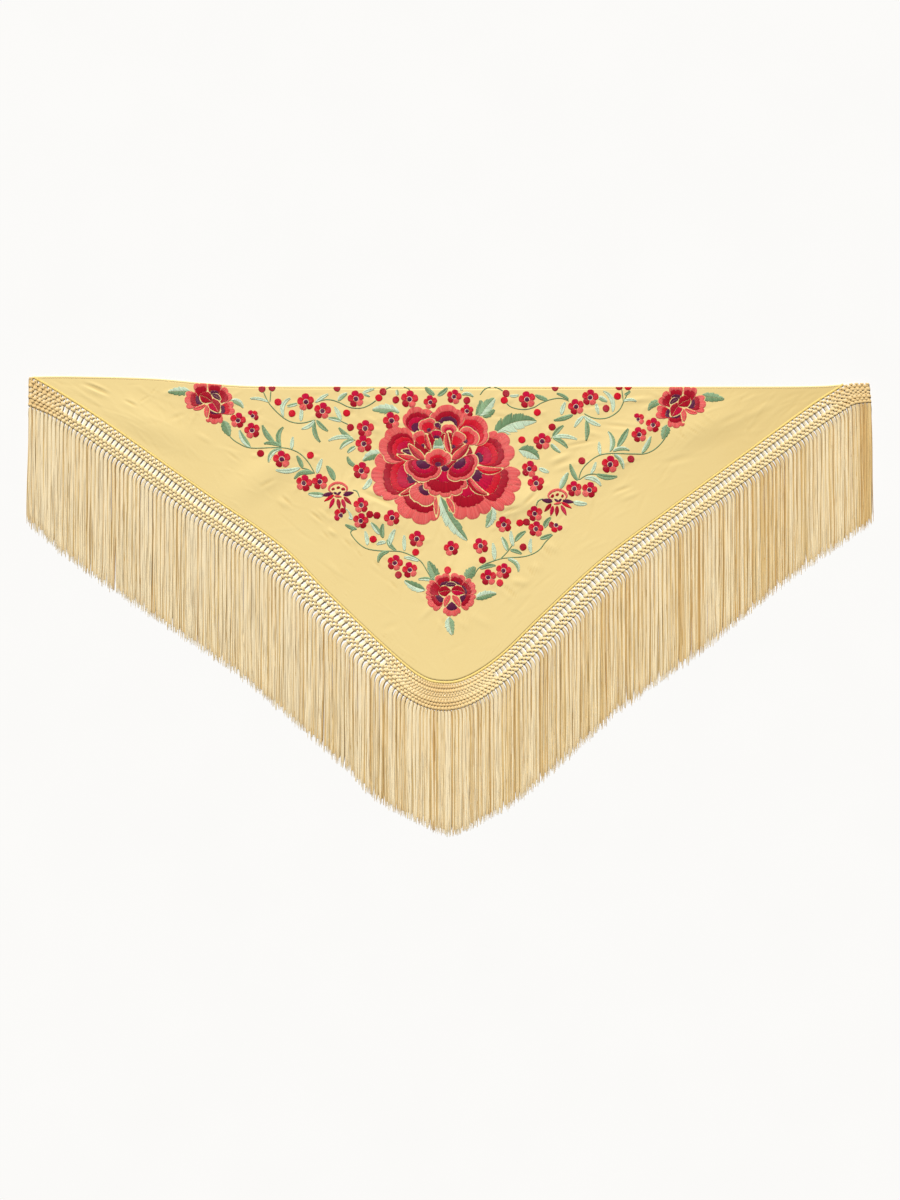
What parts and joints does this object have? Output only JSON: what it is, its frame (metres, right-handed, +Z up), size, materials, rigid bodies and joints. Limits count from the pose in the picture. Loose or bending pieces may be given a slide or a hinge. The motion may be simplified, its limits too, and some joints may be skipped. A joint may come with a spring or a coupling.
{
  "type": "flamenco shawl",
  "caption": "Triangular embroidered crepe shawl laid flat, with rolled hems, a knotted net band and a long silk fringe on its two sloping sides.",
  "frame": {"origin": "on the surface that the shawl lies on, under the middle of its bounding box", "axes": "+X along the straight top edge to its right corner, +Y from the fringe to that edge, +Z up from the surface"},
  "size_m": [1.5474, 0.8436, 0.0042],
  "materials": {
    "crepe": "butter-yellow woven crepe, soft sheen",
    "hem": "rolled and overcast edge, slightly brighter yellow",
    "net_cord": "twisted silk cord, knotted",
    "silk": "combed silk floss, satin sheen"
  },
  "bodies": {
    "root": {"cloth_panel": "crepe", "top_hem": "hem", "hem_left": "hem", "hem_right": "hem", "net_left": "net_cord", "net_right": "net_cord", "fringe_left": "silk", "fringe_right": "silk"}
  },
  "joints": []
}
